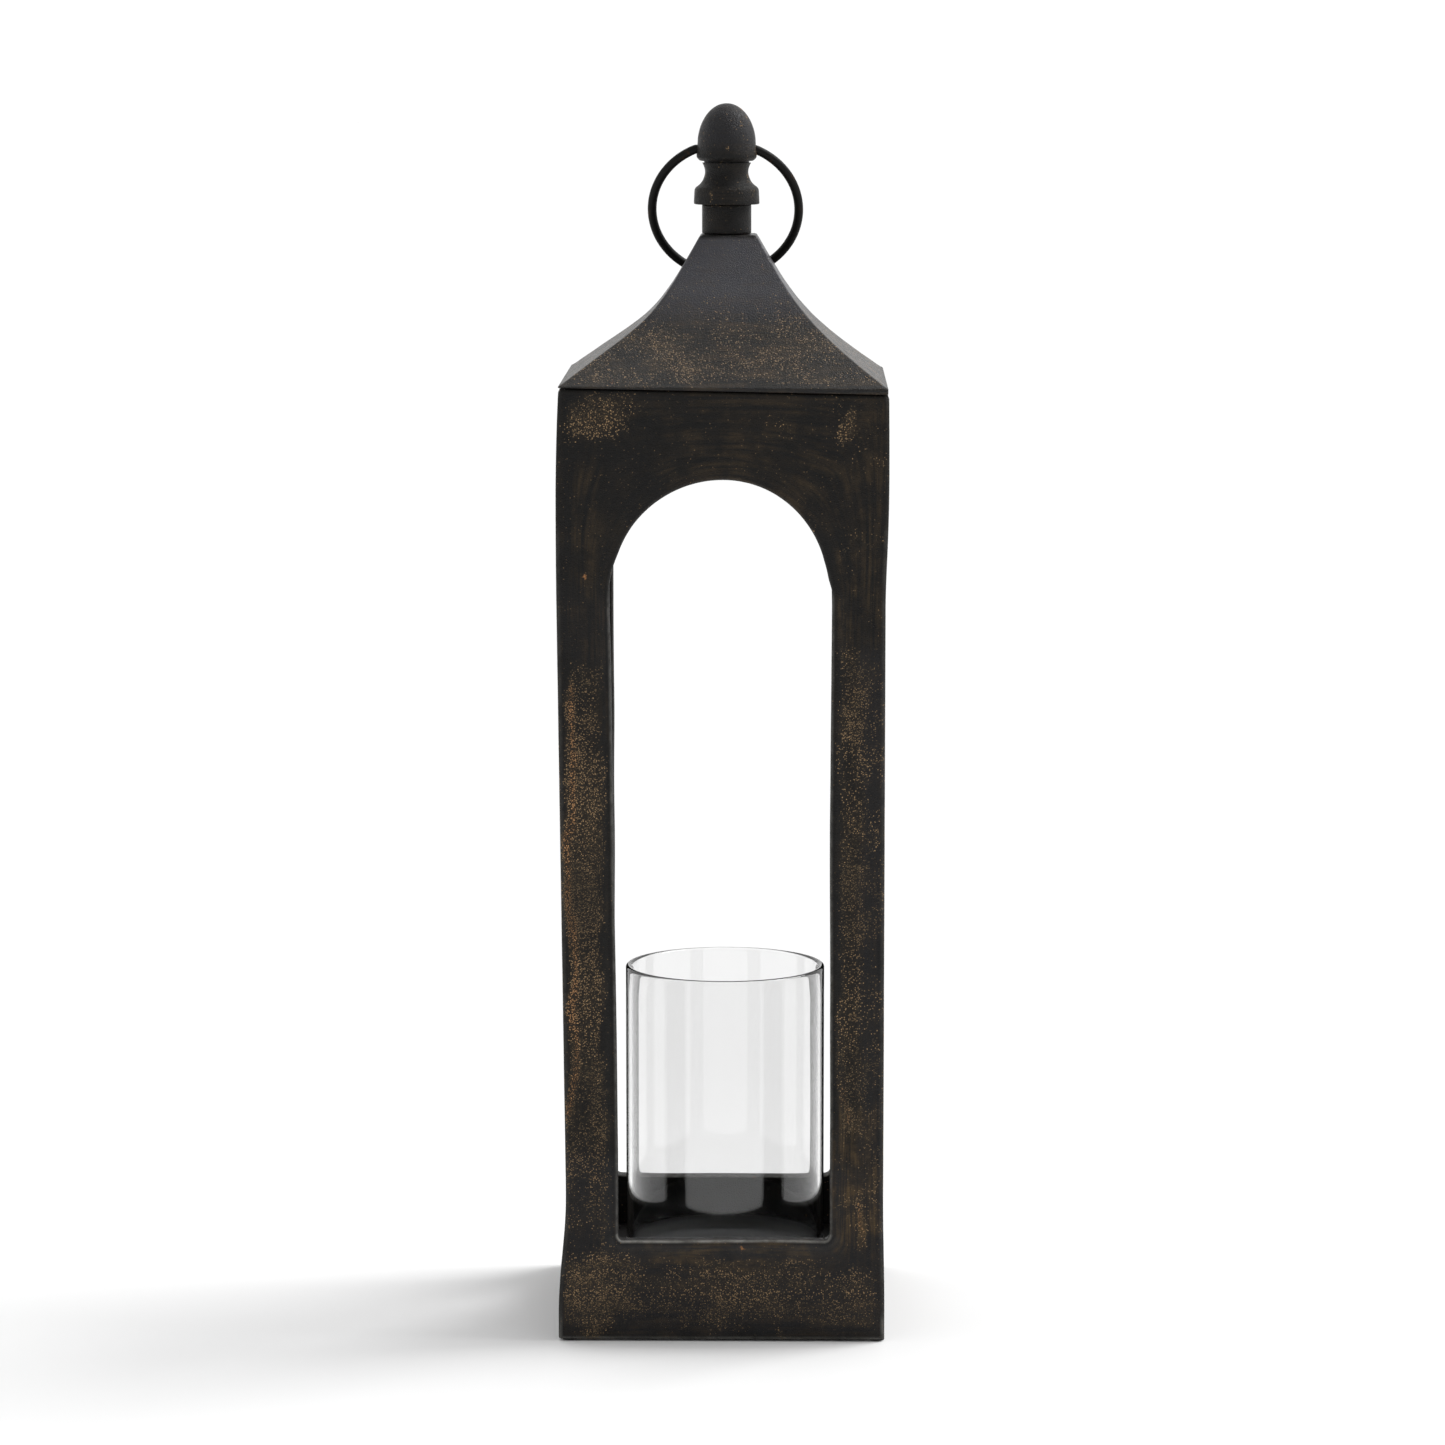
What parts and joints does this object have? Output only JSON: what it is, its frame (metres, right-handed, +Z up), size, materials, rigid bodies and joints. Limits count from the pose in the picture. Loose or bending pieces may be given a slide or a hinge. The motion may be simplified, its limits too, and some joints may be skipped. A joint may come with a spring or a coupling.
{
  "type": "candle lantern",
  "caption": "Tall square open-arch lantern with a concave hip roof, acorn finial, swinging carrying ring and a loose clear glass hurricane for a candle.",
  "frame": {"origin": "centre of the square base, on the surface that the lantern stands on", "axes": "+Z up along the tall axis, -Y out of the front arch, +X to the right seen from the front"},
  "size_m": [0.165, 0.165, 0.6154],
  "materials": {
    "cast_panels": "pebbly cast grain, painted black and rubbed with bronze speckle",
    "cast_roof": "pebbly cast grain, painted black and rubbed with bronze speckle",
    "cast_finial": "satin black paint with a few bronze spots",
    "ring_wire": "black painted steel wire",
    "clear_glass": "clear polished glass",
    "black_plate": "satin black painted sheet",
    "zinc_fasteners": "zinc plated",
    "black_screws": "black oxide",
    "rubber_pads": "matt rubber"
  },
  "bodies": {
    "frame": {"front_panel": "cast_panels", "right_panel": "cast_panels", "rear_panel": "cast_panels", "left_panel": "cast_panels", "floor_plate": "black_plate", "roof_cap": "cast_roof", "lower_bracket_front_right": "black_plate", "lower_bracket_rear_right": "black_plate", "lower_bracket_rear_left": "black_plate", "lower_bracket_front_left": "black_plate", "upper_bracket_front_right": "black_plate", "upper_bracket_rear_right": "black_plate", "upper_bracket_rear_left": "black_plate", "upper_bracket_front_left": "black_plate", "lower_bracket_screw_front_right_a": "zinc_fasteners", "lower_bracket_screw_front_right_b": "zinc_fasteners", "lower_bracket_screw_rear_right_a": "zinc_fasteners", "lower_bracket_screw_rear_right_b": "zinc_fasteners", "lower_bracket_screw_rear_left_a": "zinc_fasteners", "lower_bracket_screw_rear_left_b": "zinc_fasteners", "lower_bracket_screw_front_left_a": "zinc_fasteners", "lower_bracket_screw_front_left_b": "zinc_fasteners", "upper_bracket_screw_front_right_a": "zinc_fasteners", "upper_bracket_screw_front_right_b": "zinc_fasteners", "upper_bracket_screw_rear_right_a": "zinc_fasteners", "upper_bracket_screw_rear_right_b": "zinc_fasteners", "upper_bracket_screw_rear_left_a": "zinc_fasteners", "upper_bracket_screw_rear_left_b": "zinc_fasteners", "upper_bracket_screw_front_left_a": "zinc_fasteners", "upper_bracket_screw_front_left_b": "zinc_fasteners", "roof_screw_front_right": "zinc_fasteners", "roof_screw_rear_right": "zinc_fasteners", "roof_screw_rear_left": "zinc_fasteners", "roof_screw_front_left": "zinc_fasteners", "floor_screw_front_right": "black_screws", "floor_screw_rear_right": "black_screws", "floor_screw_rear_left": "black_screws", "floor_screw_front_left": "black_screws", "foot_pad_front_right": "rubber_pads", "foot_pad_rear_right": "rubber_pads", "foot_pad_rear_left": "rubber_pads", "foot_pad_front_left": "rubber_pads", "finial_neck": "cast_finial", "finial": "cast_finial", "finial_rod": "zinc_fasteners", "rod_washer": "zinc_fasteners", "rod_nut": "zinc_fasteners"},
    "ring": {"carry_ring": "ring_wire"},
    "glass": {"glass_hurricane": "clear_glass"}
  },
  "joints": [
    {"name": "ring_swing", "type": "hinge", "parent": "frame", "child": "ring", "pos_m": [0, 0, 0.5925], "axis": [1, 0, 0], "range_deg": [0, 310]},
    {"name": "glass_lift_out", "type": "slide", "parent": "frame", "child": "glass", "axis": [0, -0.6097, 0.7926], "range_m": [0, 0.22]}
  ]
}
